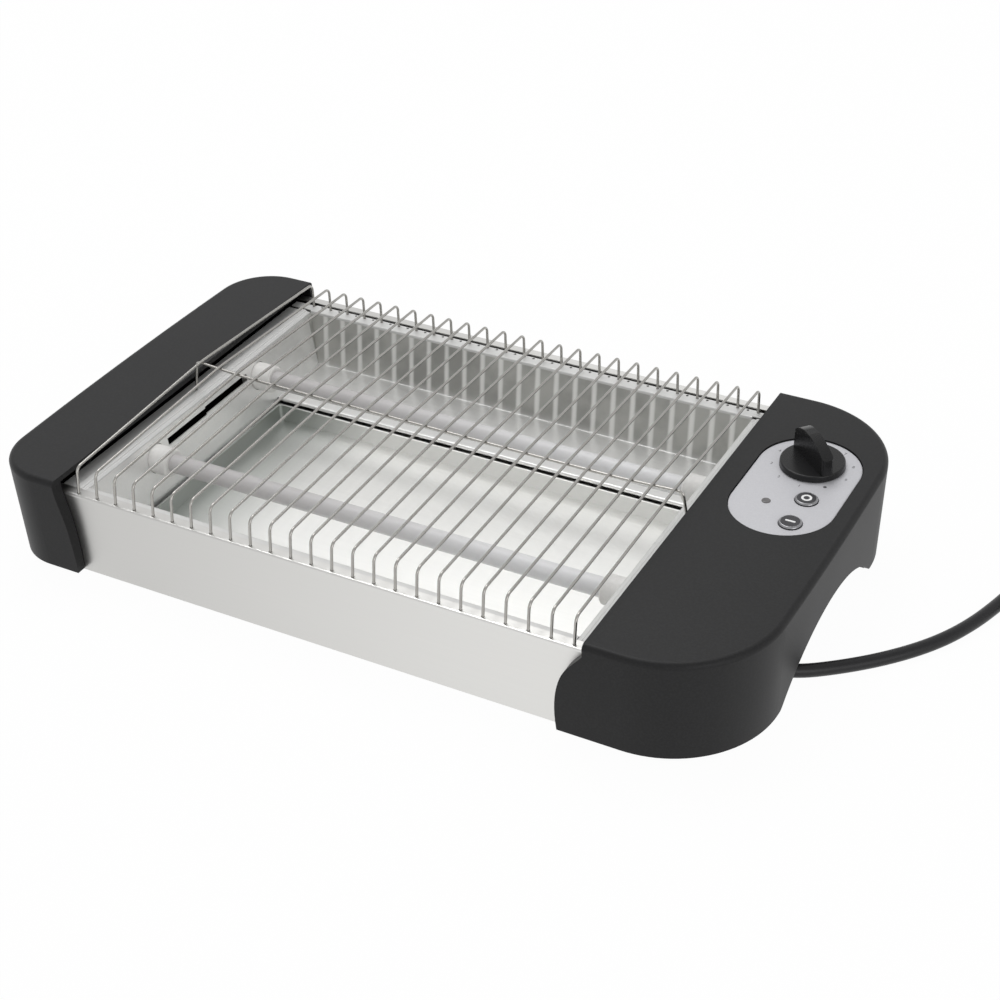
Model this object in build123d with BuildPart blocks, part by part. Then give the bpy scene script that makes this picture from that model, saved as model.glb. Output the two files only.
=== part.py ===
from build123d import *
import math
import os

# Flat-bed bun toaster: a folded steel body under a wire grille, with a black cap on each end.
# Millimetres. +X runs along the long side to the control end, +Y to the back, +Z up.
# The origin is the middle of the footprint, on the table.

# Grille over the bed
wire_pitch = 12.0
wire_count = 25
wire_d = 1.5
wire_bend_r = 4.0
grille_z = 65.5
grille_reach = 112.0
wire_splay = 2.0
wire_foot_z = 49.0
cross_wire_y = 0.0
cross_wire_sag = ((-148, 5.5), (-114, 3.5), (-66, 2.75), (66, 2.0), (114, 2.15), (148, 3.7))
grille_bow_r = 120.0

# Body sheet metal
opening_w = 305.0
front_y = -116.5
back_y = 121.0
body_tuck = 5.5
panel_bottom = 2.0
panel_top = 51.0
back_panel_top = 51.5
sheet_t = 0.8
front_flange_w = 6.4
back_flange_w = 5.9
bottom_flange_w = 9.0
fold_r = 1.4
chassis_inset = 1.2
wire_hole_gap = 0.15

# Reflector box around the heating tubes
reflector_t = 0.6
chamber_l = 276.0
wall_top_y = 106.0
wall_toe = 3.5
floor_z = 17.5
window_front = -84.0
window_back = 58.0
wall_lean = 5.0
ledge_top = 50.2
ledge_front = -109.9
ledge_bead = 0.8
slot_front = -41.0
slot_jog = -5.0
slot_back = 35.0
slot_z = 41.4
slot_h = 4.2
slot_step = 0.9

# Heating tubes
tube_d = 10.5
tube_wall = 1.2
tube_front_y = -52.5
tube_back_y = 46.5
tube_z = 37.5
tube_l = 266.0
coil_rod_d = 4.0
ceramic_d = 16.0
ceramic_in = 130.0
ceramic_l = 19.0
link_d = 3.0

# End caps
left_cap_w = 46.5
right_cap_w = 77.5
cap_depth = 248.0
cap_bottom = 4.0
cap_top = 60.5
cap_wall = 2.5
cap_bow = 2.5
left_corner_r = 31.0
right_corner_r = 57.0
cap_draft = 1.6
cap_lip = 3.0
rim_r = 3.0
arch_half = 63.0
arch_rise = 26.0
arch_foot_r = 6.0
right_recess = 55.8
left_recess = 31.0
boss_d = 8.0

# Controls
plate_w = 54.0
plate_l = 92.0
plate_x = 177.0
plate_y = 40.5
plate_t = 2.0
plate_sunk = 0.8
seat_t = 2.2
knob_x = 177.6
knob_y = 62.3
skirt_d = 34.0
skirt_h = 3.2
blade_h = 15.0
blade_t = 7.0
blade_turn = -42.0
shaft_d = 6.0
button_d = 11.8
button_proud = 1.4
button_x = 186.2
ring_y = 31.0
bar_y = 8.5
button_travel = 2.0
switch_drop = 9.0
lamp_d = 4.6
lamp_x = 168.3
lamp_y = 21.8

# Crumb tray
tray_gap = 1.4
tray_rim_h = 11.0
tray_t = 0.6
tray_bead_d = 2.0
tongue_l = 250.0
pull_l = 274.0
pull_h = 14.0
pull_t = 1.0
finger_l = 70.0
finger_w = 6.0

# Mains lead
cord_d = 7.0
gland_y = -42.7
gland_z = 9.4
relief_l = 21.5
relief_d = 11.0
coil_x = 331.0
coil_y = 120.0
coil_r = 42.0
coil_pitch = 7.8
layer_rise = 7.6
cord_z = 3.6
plug_tilt = 9.7
plug_face_r = 18.5
plug_l = 48.0
pin_d = 4.8
pin_l = 19.0
pin_apart = 19.0

# Clearances
slip = 0.3
running = 0.05
foot_h = 4.0
foot_d = 14.0

os.makedirs("parts", exist_ok=True)

mid_x = (left_cap_w - right_cap_w) / 2
half_open = opening_w / 2
half_body = half_open + body_tuck
half_cap = cap_depth / 2
chassis_x = half_body - chassis_inset
base_top = panel_bottom + 2 * sheet_t
tray_z = base_top + slip
half_chamber = chamber_l / 2
half_box = half_chamber + wall_lean - 0.3
floor_front = -wall_top_y + wall_toe
floor_back = wall_top_y - wall_toe
tray_half = half_chamber - tray_gap
tray_front = window_front + tray_gap
tray_back = window_back - tray_gap
notch_top = floor_z - 1.5


def save(builder, label):
    """Label the part of a builder and write its STEP file."""
    builder.part.label = label
    export_step(builder.part, f"parts/{label}.step")


# Front panel: brushed face, top flange that takes the wire feet, bottom flange turned inward.
splay_slope = wire_splay / (grille_z - wire_foot_z)
front_hole_y = -grille_reach - splay_slope * (grille_z - panel_top + sheet_t / 2)
with BuildPart() as front_panel:
    with BuildSketch(Plane.YZ.offset(mid_x - half_body)):
        with BuildLine():
            FilletPolyline(
                (front_y + bottom_flange_w, panel_bottom),
                (front_y, panel_bottom),
                (front_y, panel_top),
                (front_y + front_flange_w, panel_top),
                radius=fold_r,
            )
            offset(amount=sheet_t, side=Side.RIGHT, kind=Kind.INTERSECTION)
        make_face()
    extrude(amount=2 * half_body)
    with BuildSketch(Plane.XY.offset(panel_top - sheet_t - 1)):
        with Locations((mid_x, front_hole_y)):
            with GridLocations(wire_pitch, 0, wire_count, 1):
                Circle(wire_d / 2 + wire_hole_gap)
    extrude(amount=sheet_t + 2, mode=Mode.SUBTRACT)
save(front_panel, "front_panel")

# Back panel: a narrow top flange, and the slot that the crumb tray slides through.
with BuildPart() as back_panel:
    with BuildSketch(Plane.YZ.offset(mid_x - half_body)):
        with BuildLine():
            FilletPolyline(
                (back_y - bottom_flange_w, panel_bottom),
                (back_y, panel_bottom),
                (back_y, back_panel_top),
                (back_y - back_flange_w, back_panel_top),
                radius=fold_r,
            )
            offset(amount=sheet_t, side=Side.LEFT, kind=Kind.INTERSECTION)
        make_face()
    extrude(amount=2 * half_body)
    with BuildSketch(Plane.XZ.offset(-back_y - 5)):
        with Locations((mid_x, (base_top + notch_top) / 2)):
            Rectangle(2 * tray_half + 2, notch_top - base_top)
    extrude(amount=10, mode=Mode.SUBTRACT)
save(back_panel, "back_panel")

# Chassis end plates stand between the two panels, inside the caps.
plate_top = ledge_top - reflector_t - 0.3
for side, name in ((-1, "left"), (1, "right")):
    with BuildPart() as chassis_plate:
        with BuildSketch(Plane.YZ.offset(mid_x + side * chassis_x)):
            with Locations(((front_y + back_y) / 2, (base_top + plate_top) / 2)):
                Rectangle(back_y - front_y - 2 * sheet_t - 0.2, plate_top - base_top)
            with Locations((-90, 30), (90, 30)):
                SlotOverall(24, 5, rotation=90, mode=Mode.SUBTRACT)
        extrude(amount=-side * sheet_t)
    save(chassis_plate, f"{name}_chassis_plate")

# Base plate lies on the panels' bottom flanges and closes the body from below.
with BuildPart() as base_plate:
    with BuildSketch(Plane.XY.offset(panel_bottom + sheet_t)):
        with Locations((mid_x, (front_y + back_y) / 2)):
            Rectangle(2 * chassis_x, back_y - front_y - 2 * fold_r - 0.2)
        with Locations((mid_x, front_y + 24)):
            with GridLocations(26, 0, 9, 1):
                SlotOverall(16, 4, mode=Mode.SUBTRACT)
    extrude(amount=sheet_t)
save(base_plate, "base_plate")

# Two angle rails on the base plate guide the crumb tray.
with BuildPart() as tray_guides:
    rail_x = tray_half + slip
    for side in (-1, 1):
        with BuildSketch(Plane.XZ.offset(-back_y + 6)):
            with BuildLine():
                Polyline(
                    (mid_x + side * rail_x, base_top),
                    (mid_x + side * rail_x, base_top + 8),
                    (mid_x + side * (rail_x + sheet_t), base_top + 8),
                    (mid_x + side * (rail_x + sheet_t), base_top + sheet_t),
                    (mid_x + side * (rail_x + 7), base_top + sheet_t),
                    (mid_x + side * (rail_x + 7), base_top),
                    close=True,
                )
            make_face()
        extrude(amount=back_y - 6 - tray_front + 8)
save(tray_guides, "tray_guides")

# Front reflector: floor strip, wall leaning out, and a flange caught under the front panel's.
with BuildPart() as reflector_front:
    with BuildSketch(Plane.YZ.offset(mid_x - half_box)):
        with BuildLine():
            FilletPolyline(
                (window_front, notch_top - 0.4),
                (window_front, floor_z),
                (floor_front, floor_z),
                (-wall_top_y, ledge_top),
                (-grille_reach, ledge_top),
                radius=0.9,
            )
            offset(amount=reflector_t, side=Side.LEFT, kind=Kind.INTERSECTION)
        make_face()
    extrude(amount=2 * half_box)
save(reflector_front, "reflector_front")

# Back reflector: the same turned round, with a wide top flange that takes the back wire feet.
flange_edge = back_y - back_flange_w - 1.2
with BuildPart() as reflector_back:
    with BuildSketch(Plane.YZ.offset(mid_x - half_box)):
        with BuildLine():
            FilletPolyline(
                (window_back, notch_top - 0.4),
                (window_back, floor_z),
                (floor_back, floor_z),
                (wall_top_y, panel_top),
                (flange_edge, panel_top),
                (flange_edge, panel_top - 3),
                radius=0.9,
            )
            offset(amount=reflector_t, side=Side.RIGHT, kind=Kind.INTERSECTION)
        make_face()
    extrude(amount=2 * half_box)
    with BuildSketch(Plane.YZ.offset(mid_x - chassis_x)):
        with Locations(((wall_top_y + 1 + flange_edge - 1.4) / 2, panel_top - reflector_t / 2)):
            Rectangle(flange_edge - wall_top_y - 2.4, reflector_t)
    extrude(amount=2 * chassis_x)
    with BuildSketch(Plane.XY.offset(panel_top - reflector_t - 1)):
        with Locations((mid_x, grille_reach)):
            with GridLocations(wire_pitch, 0, wire_count, 1):
                Circle(wire_d / 2 + wire_hole_gap)
            with GridLocations(wire_pitch, 0, wire_count - 1, 1):
                Circle(0.8)
    extrude(amount=reflector_t + 2, mode=Mode.SUBTRACT)
save(reflector_back, "reflector_back")

# End reflectors: a leaning wall with two ceramic holes and a slot, under a ledge with a low bead.
ledge_in = half_chamber + wall_lean
wall_end = wall_top_y - 0.25
for side, name in ((-1, "left"), (1, "right")):
    with BuildPart() as end_reflector:
        with BuildSketch(Plane.XZ.offset(grille_reach)):
            with BuildLine():
                FilletPolyline(
                    (mid_x + side * half_chamber, floor_z - 6),
                    (mid_x + side * half_chamber, floor_z),
                    (mid_x + side * ledge_in, ledge_top),
                    (mid_x + side * (ledge_in + 2.3), ledge_top),
                    (mid_x + side * (ledge_in + 2.9), ledge_top + ledge_bead),
                    (mid_x + side * (ledge_in + 6.3), ledge_top + ledge_bead),
                    (mid_x + side * (ledge_in + 6.9), ledge_top),
                    (mid_x + side * half_body, ledge_top),
                    radius=0.7,
                )
                offset(
                    amount=reflector_t,
                    side=Side.RIGHT if side > 0 else Side.LEFT,
                    kind=Kind.INTERSECTION,
                )
            make_face()
        extrude(amount=-2 * grille_reach)
        # The wall ends against the leaning front and back walls, the ledge runs past them
        with BuildSketch(Plane.YZ.offset(mid_x + side * (half_chamber - 2))):
            with BuildLine():
                Polyline(
                    (window_front + 1, floor_z - 7),
                    (window_front + 1, floor_z),
                    (floor_front + 1, floor_z),
                    (floor_front, floor_z + 1),
                    (-wall_end, ledge_top - 1),
                    (ledge_front, ledge_top - 1),
                    (ledge_front, ledge_top + 2),
                    (wall_end, ledge_top + 2),
                    (wall_end, ledge_top - 1),
                    (floor_back, floor_z + 1),
                    (floor_back - 1, floor_z),
                    (window_back - 1, floor_z),
                    (window_back - 1, floor_z - 7),
                    close=True,
                )
            make_face()
            with Locations((tube_front_y, tube_z), (tube_back_y, tube_z)):
                Circle(ceramic_d / 2 + slip, mode=Mode.SUBTRACT)
        extrude(amount=side * 40, mode=Mode.INTERSECT)
        # Slot between the ceramics, with a step up in its back half
        with BuildSketch(Plane.YZ.offset(mid_x + side * (half_chamber - 2))):
            with Locations(((slot_front + slot_jog) / 2, slot_z)):
                Rectangle(slot_jog - slot_front, slot_h)
            with Locations(((slot_jog + slot_back) / 2, slot_z + slot_step)):
                Rectangle(slot_back - slot_jog + 1, slot_h)
        extrude(amount=side * 10, mode=Mode.SUBTRACT)
    save(end_reflector, f"reflector_{name}_end")

# Cross wire under the grille: its bowed span lifts the long wires, its legs stand on the ledges.
cross_points = [(mid_x + at_x, cross_wire_y, grille_z - wire_d + lift) for at_x, lift in cross_wire_sag]
left_end = cross_points[0]
right_end = cross_points[-1]
with BuildLine() as cross_run:
    FilletPolyline(
        (left_end[0] - 3, cross_wire_y, ledge_top + 0.25),
        *cross_points,
        (right_end[0] + 3, cross_wire_y, ledge_top + 0.25),
        radius=[3, 60, 60, 60, 60, 3],
    )
with BuildPart() as cross_wire:
    with BuildSketch(Plane(origin=cross_run.line @ 0, z_dir=cross_run.line % 0)):
        Circle(wire_d / 2)
    sweep(path=cross_run.line)
save(cross_wire, "grille_cross_wire")


def lift_at(at_x):
    """Height that the cross wire adds at this distance from the middle of the bed."""
    for (x0, lift0), (x1, lift1) in zip(cross_wire_sag, cross_wire_sag[1:]):
        if x0 <= at_x <= x1:
            return lift0 + (lift1 - lift0) * (at_x - x0) / (x1 - x0)
    return 0.0


# Grille: each wire is a U with its front leg splayed and its middle lifted by the cross wire.
with BuildPart() as grille_wires:
    for number in range(wire_count):
        at_x = (number - (wire_count - 1) / 2) * wire_pitch
        bow = math.atan(lift_at(at_x) / grille_reach)
        peak = grille_z + lift_at(at_x) + grille_bow_r * (1 / math.cos(bow) - 1) + 0.03
        with BuildLine() as wire_run:
            FilletPolyline(
                (mid_x + at_x, -grille_reach - wire_splay, wire_foot_z),
                (mid_x + at_x, -grille_reach, grille_z),
                (mid_x + at_x, cross_wire_y, peak),
                (mid_x + at_x, grille_reach, grille_z),
                (mid_x + at_x, grille_reach, wire_foot_z),
                radius=[wire_bend_r, grille_bow_r, wire_bend_r],
            )
        with BuildSketch(Plane(origin=wire_run.line @ 0, z_dir=wire_run.line % 0)):
            Circle(wire_d / 2)
        sweep(path=wire_run.line)
save(grille_wires, "grille_wires")

# Quartz tubes, the resistance coils inside them, and the ceramic holders at their ends.
for name, tube_y in (("front", tube_front_y), ("back", tube_back_y)):
    with BuildPart() as quartz_tube:
        with BuildSketch(Plane.YZ.offset(mid_x - tube_l / 2)):
            with Locations((tube_y, tube_z)):
                Circle(tube_d / 2)
                Circle(tube_d / 2 - tube_wall, mode=Mode.SUBTRACT)
        extrude(amount=tube_l)
    save(quartz_tube, f"quartz_tube_{name}")

with BuildPart() as heating_coils:
    with BuildSketch(Plane.YZ.offset(mid_x - tube_l / 2)):
        with Locations((tube_front_y, tube_z), (tube_back_y, tube_z)):
            Circle(coil_rod_d / 2)
    extrude(amount=tube_l)
save(heating_coils, "heating_coils")

for side, name in ((-1, "left"), (1, "right")):
    with BuildPart() as ceramic_holders:
        with BuildSketch(Plane.YZ.offset(mid_x + side * ceramic_in)):
            with Locations((tube_front_y, tube_z), (tube_back_y, tube_z)):
                Circle(ceramic_d / 2)
        extrude(amount=side * ceramic_l)
        chamfer(ceramic_holders.edges().filter_by(GeomType.CIRCLE), 1.0)
        with BuildSketch(Plane.YZ.offset(mid_x + side * ceramic_in)):
            with Locations((tube_front_y, tube_z), (tube_back_y, tube_z)):
                Circle(tube_d / 2)
        extrude(amount=side * (tube_l / 2 - ceramic_in), mode=Mode.SUBTRACT)
        # A neck behind each ceramic stands on the chassis plate
        with BuildSketch(Plane.YZ.offset(mid_x + side * (ceramic_in + ceramic_l - 1))):
            with Locations((tube_front_y, tube_z), (tube_back_y, tube_z)):
                Circle(3.4)
        extrude(amount=side * (chassis_x - sheet_t - ceramic_in - ceramic_l + 1))
    save(ceramic_holders, f"ceramic_holders_{name}")

# One bare link joins the two tubes in series at the left end.
link_x = mid_x - ceramic_in - ceramic_l
with BuildLine() as link_run:
    FilletPolyline(
        (link_x, tube_front_y, tube_z + 5.2),
        (link_x - 4.5, tube_front_y, tube_z + 5.2),
        (link_x - 4.5, tube_back_y, tube_z + 5.2),
        (link_x, tube_back_y, tube_z + 5.2),
        radius=3,
    )
with BuildPart() as heater_link:
    with BuildSketch(Plane(origin=link_run.line @ 0, z_dir=link_run.line % 0)):
        Circle(link_d / 2)
    sweep(path=link_run.line)
save(heater_link, "heater_link")


def cap_plan(width, corner_r, side, inset, inner):
    """Plan of an end cap: straight inner edge, gently bowed outer side and round corners."""
    out_x = mid_x + side * (half_open + width - inset)
    in_x = mid_x + side * inner
    reach = half_cap - inset
    with BuildSketch(Plane.XY) as plan:
        with BuildLine():
            Polyline(
                (out_x - side * cap_bow, -reach),
                (in_x, -reach),
                (in_x, reach),
                (out_x - side * cap_bow, reach),
            )
            ThreePointArc(
                (out_x - side * cap_bow, -reach),
                (out_x, 0),
                (out_x - side * cap_bow, reach),
            )
        make_face()
        corners = plan.vertices().sort_by(Axis.X)
        fillet(corners[-2:] if side > 0 else corners[:2], corner_r - inset / 2)
    return plan.sketch


def arch_void(grow, foot_r):
    """Arched opening in the cap's side: local X along the side, local Y up, open at the bottom."""
    half = arch_half + grow
    top = cap_bottom + arch_rise + grow
    with BuildSketch(Plane.XY) as arch:
        with BuildLine():
            Line((-half - 12, cap_bottom), (-half, cap_bottom))
            ThreePointArc((-half, cap_bottom), (0, top), (half, cap_bottom))
            Polyline(
                (half, cap_bottom),
                (half + 12, cap_bottom),
                (half + 12, -3),
                (-half - 12, -3),
                (-half - 12, cap_bottom),
            )
        make_face()
        if foot_r > 0:
            arch_feet = [v for v in arch.vertices() if abs(abs(v.X) - half) < 0.01]
            fillet(arch_feet, foot_r)
    return arch.sketch


def boss_places(width, side):
    """Screw bosses of a cap: two beside the arch and two near the body."""
    far_x = mid_x + side * (half_open + width - 13.5)
    near_x = mid_x + side * (half_body + 9)
    return [(far_x, -78), (far_x, 78), (near_x, -106), (near_x, 106)]


# End caps: drafted shells whose front and back walls sweep in over the panels.
cap_list = (
    ("left", -1, left_cap_w, left_corner_r, left_recess),
    ("right", 1, right_cap_w, right_corner_r, right_recess),
)
swept_edge = {
    "left": ((0.0, 57.0), (0.9, 50.0), (3.5, 38.0), (5.3, 24.0), (6.0, 12.0), (6.0, cap_bottom - 1)),
    "right": ((0.0, 53.5), (2.8, 50.0), (10.2, 40.0), (13.4, 31.0), (15.0, 17.0), (14.1, cap_bottom - 1)),
}
for name, side, width, corner_r, recess in cap_list:
    inner_reach = half_open - max(sweep for sweep, z in swept_edge[name]) - 8
    outer_low = cap_plan(width, corner_r, side, cap_draft, inner_reach)
    outer_top = cap_plan(width, corner_r, side, 0, inner_reach)
    hollow_low = cap_plan(width, corner_r, side, cap_wall + cap_draft, half_open + cap_wall)
    hollow_top = cap_plan(width, corner_r, side, cap_wall, half_open + cap_wall)
    wall_cut = arch_void(0, arch_foot_r)
    with BuildPart() as cap:
        with BuildSketch(Plane.XY.offset(cap_bottom)):
            add(outer_low)
        with BuildSketch(Plane.XY.offset(cap_top)):
            add(outer_top)
        loft(ruled=True)
        top_face = cap.faces().sort_by(Axis.Z)[-1]
        inner_x = mid_x + side * inner_reach
        fillet([e for e in top_face.edges() if abs(e.center().X - inner_x) > 1], rim_r)
        # Inner edge: straight at the top, then swept in over the face of the panels
        edge_points = [(mid_x + side * (half_open - sweep), z) for sweep, z in swept_edge[name]]
        with BuildSketch(Plane.XZ.offset(half_cap + 5)):
            with BuildLine():
                Spline(*edge_points)
                Polyline(
                    edge_points[-1],
                    (inner_x - side * 5, edge_points[-1][1]),
                    (inner_x - side * 5, cap_top + 5),
                    (mid_x + side * half_open, cap_top + 5),
                    edge_points[0],
                )
            make_face()
        extrude(amount=-(cap_depth + 10), mode=Mode.SUBTRACT)
        # Room for the end of the body
        room = half_body + slip
        with BuildSketch(Plane.XY):
            with Locations((mid_x + side * (room - 20), (front_y + back_y) / 2)):
                Rectangle(40, back_y - front_y + 2 * slip)
        extrude(amount=cap_top - cap_lip, mode=Mode.SUBTRACT)
        # Inside of the shell
        with BuildSketch(Plane.XY.offset(cap_bottom - 1)):
            add(hollow_low)
        with BuildSketch(Plane.XY.offset(cap_top - cap_wall)):
            add(hollow_top)
        loft(ruled=True, mode=Mode.SUBTRACT)
        # Arch in the side wall
        with BuildSketch(Plane.YZ.offset(mid_x + side * (half_open + width - 12))):
            add(wall_cut)
        extrude(amount=side * 20, mode=Mode.SUBTRACT)
        # Screw bosses down to the base
        with BuildSketch(Plane.XY.offset(cap_bottom + cap_wall)):
            with Locations(*boss_places(width, side)):
                Circle(boss_d / 2)
        extrude(amount=cap_top - cap_wall - cap_bottom - cap_wall + 1)
        with BuildSketch(Plane.XY.offset(cap_bottom + cap_wall)):
            with Locations(*boss_places(width, side)):
                Circle(1.3)
        extrude(amount=14, mode=Mode.SUBTRACT)
        if side > 0:
            # Obround seat for the control plate, with the through holes below it
            seat_top = cap_top - plate_sunk - plate_t
            with BuildSketch(Plane.XY.offset(seat_top - seat_t)):
                with Locations((plate_x, plate_y)):
                    SlotOverall(plate_l + 6, plate_w + 6, rotation=90)
            extrude(amount=cap_top - cap_wall - seat_top + seat_t + 0.5)
            with BuildSketch(Plane.XY.offset(seat_top)):
                with Locations((plate_x, plate_y)):
                    SlotOverall(plate_l + 0.6, plate_w + 0.6, rotation=90)
            extrude(amount=5, mode=Mode.SUBTRACT)
            with BuildSketch(Plane.XY.offset(seat_top - seat_t - 1)):
                with Locations((knob_x, knob_y)):
                    Circle(7)
                with Locations((button_x, ring_y), (button_x, bar_y)):
                    Circle(8)
                with Locations((lamp_x, lamp_y)):
                    Circle(lamp_d / 2 + 1.2)
            extrude(amount=seat_t + 2, mode=Mode.SUBTRACT)
    save(cap, f"{name}_cap")

# Cap bases: flat plate recessed in the shell, with the arched finger recess moulded in it.
for name, side, width, corner_r, recess in cap_list:
    base_plan = cap_plan(width, corner_r, side, cap_wall + cap_draft + slip, half_body + slip)
    tunnel_outer = arch_void(cap_wall, 0)
    tunnel_inner = arch_void(0, 0)
    recess_x = mid_x + side * (half_open + width - recess)
    with BuildPart() as cap_base:
        with BuildSketch(Plane.XY.offset(cap_bottom)):
            add(base_plan)
        extrude(amount=cap_wall)
        with BuildSketch(Plane.YZ.offset(recess_x - side * cap_wall)):
            add(tunnel_outer)
        extrude(amount=side * (recess + cap_wall))
        # Trim the tunnel to the plan of the shell
        with BuildSketch(Plane.XY.offset(cap_bottom)):
            add(base_plan)
        extrude(amount=cap_top, mode=Mode.INTERSECT)
        with BuildSketch(Plane.YZ.offset(recess_x)):
            add(tunnel_inner)
        extrude(amount=side * (recess + 10), mode=Mode.SUBTRACT)
        with BuildSketch(Plane.XY.offset(cap_bottom)):
            with Locations(*boss_places(width, side)):
                Circle(1.3)
        extrude(amount=cap_wall, mode=Mode.SUBTRACT)
        if side > 0:
            with BuildSketch(Plane.YZ.offset(recess_x - side * cap_wall)):
                with Locations((gland_y, gland_z)):
                    Circle(cord_d / 2 + 1)
            extrude(amount=side * cap_wall, mode=Mode.SUBTRACT)
    save(cap_base, f"{name}_cap_base")

# Screws that hold the bases, and the rubber feet beside them
with BuildPart() as base_screws:
    for name, side, width, corner_r, recess in cap_list:
        with BuildSketch(Plane.XY.offset(cap_bottom)):
            with Locations(*boss_places(width, side)):
                Circle(1.3)
        extrude(amount=cap_wall + 10)
        with BuildSketch(Plane.XY.offset(cap_bottom)):
            with Locations(*boss_places(width, side)):
                Circle(2.9)
        extrude(amount=-1.2)
save(base_screws, "base_screws")

with BuildPart() as rubber_feet:
    left_foot = mid_x - half_open - left_cap_w / 2 - 3
    right_foot = mid_x + half_open + right_cap_w / 2 - 5
    with BuildSketch(Plane.XY):
        with Locations((left_foot, -97), (left_foot, 97), (right_foot, -100), (right_foot, 100)):
            Circle(foot_d / 2)
    extrude(amount=foot_h)
    chamfer(rubber_feet.edges().group_by(Axis.Z)[0], 0.6)
save(rubber_feet, "rubber_feet")

# Control plate let into the cap, with bores for the shaft, the buttons and the lamp
plate_face = cap_top - plate_sunk
plate_under = plate_face - plate_t
seat_under = plate_under - seat_t
with BuildPart() as control_plate:
    with BuildSketch(Plane.XY.offset(plate_under)):
        with Locations((plate_x, plate_y)):
            SlotOverall(plate_l, plate_w, rotation=90)
    extrude(amount=plate_t)
    fillet(control_plate.edges().group_by(Axis.Z)[-1], 0.4)
    with BuildSketch(Plane.XY.offset(plate_under - 1)):
        with Locations((knob_x, knob_y)):
            Circle(shaft_d / 2 + slip)
        with Locations((button_x, ring_y), (button_x, bar_y)):
            Circle(button_d / 2 + slip)
        with Locations((lamp_x, lamp_y)):
            Circle(lamp_d / 2)
    extrude(amount=plate_t + 2, mode=Mode.SUBTRACT)
save(control_plate, "control_plate")

# Indicator lens: a small domed plug in the plate
with BuildPart() as indicator_lens:
    with BuildSketch(Plane.XY.offset(plate_under - 1)):
        with Locations((lamp_x, lamp_y)):
            Circle(lamp_d / 2)
    extrude(amount=plate_t + 1.5)
    fillet(indicator_lens.edges().group_by(Axis.Z)[-1], 0.45)
    with BuildSketch(Plane.XY.offset(plate_under)):
        with Locations((lamp_x, lamp_y)):
            Circle(lamp_d / 2 + 0.9)
    extrude(amount=-1.0)
save(indicator_lens, "indicator_lens")

# Buttons: a shallow round head, a collar that stops under the plate and a stem
switch_top = plate_under - switch_drop
collar_top = plate_under - slip
for name, at_y in (("ring_button", ring_y), ("bar_button", bar_y)):
    with BuildPart() as button:
        with BuildSketch(Plane.XY.offset(collar_top)):
            with Locations((button_x, at_y)):
                Circle(button_d / 2)
        extrude(amount=plate_t + slip + button_proud)
        chamfer(button.edges().group_by(Axis.Z)[-1], 0.8)
        with BuildSketch(Plane.XY.offset(collar_top)):
            with Locations((button_x, at_y)):
                Circle(button_d / 2 + 1.1)
        extrude(amount=-1.6)
        with BuildSketch(Plane.XY.offset(collar_top - 1.6)):
            with Locations((button_x, at_y)):
                Circle(2)
        extrude(amount=-(collar_top - 1.6 - switch_top + 1.0))
    save(button, name)

# Switches below the buttons; each has a well that its stem moves in
switch_gap = ring_y - bar_y - 14
with BuildPart() as push_switches:
    with BuildSketch(Plane.XY.offset(switch_top)):
        with Locations((button_x, ring_y), (button_x, bar_y)):
            Rectangle(12, 14)
        with Locations((button_x, (ring_y + bar_y) / 2)):
            Rectangle(8, switch_gap)
    extrude(amount=-11)
    with BuildSketch(Plane.XY.offset(switch_top)):
        with Locations((button_x, ring_y), (button_x, bar_y)):
            Circle(2 + slip)
    extrude(amount=-(button_travel + 2.0), mode=Mode.SUBTRACT)
    with BuildSketch(Plane.XY.offset(switch_top)):
        with Locations((button_x, (ring_y + bar_y) / 2)):
            Rectangle(6, switch_gap - 3)
    extrude(amount=seat_under - switch_top)
save(push_switches, "push_switches")

# Timer below the knob, held up to the seat, with a bearing for its shaft
with BuildPart() as timer_body:
    with BuildSketch(Plane.XY.offset(seat_under - 3)):
        with Locations((knob_x, knob_y)):
            RectangleRounded(34, 34, 3)
    extrude(amount=-20)
    with BuildSketch(Plane.XY.offset(seat_under)):
        with Locations((knob_x, knob_y)):
            Circle(10)
        with Locations((knob_x - 13.5, knob_y), (knob_x + 13.5, knob_y)):
            Circle(3)
    extrude(amount=-3)
    with BuildSketch(Plane.XY.offset(seat_under)):
        with Locations((knob_x, knob_y)):
            Circle(shaft_d / 2 + running)
    extrude(amount=-13, mode=Mode.SUBTRACT)
save(timer_body, "timer_body")

knob_floor = plate_face + 0.5
with BuildPart() as timer_shaft:
    with BuildSketch(Plane.XY.offset(seat_under - 12)):
        with Locations((knob_x, knob_y)):
            Circle(shaft_d / 2)
    extrude(amount=knob_floor + skirt_h + 4 - seat_under + 12)
save(timer_shaft, "timer_shaft")

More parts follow.
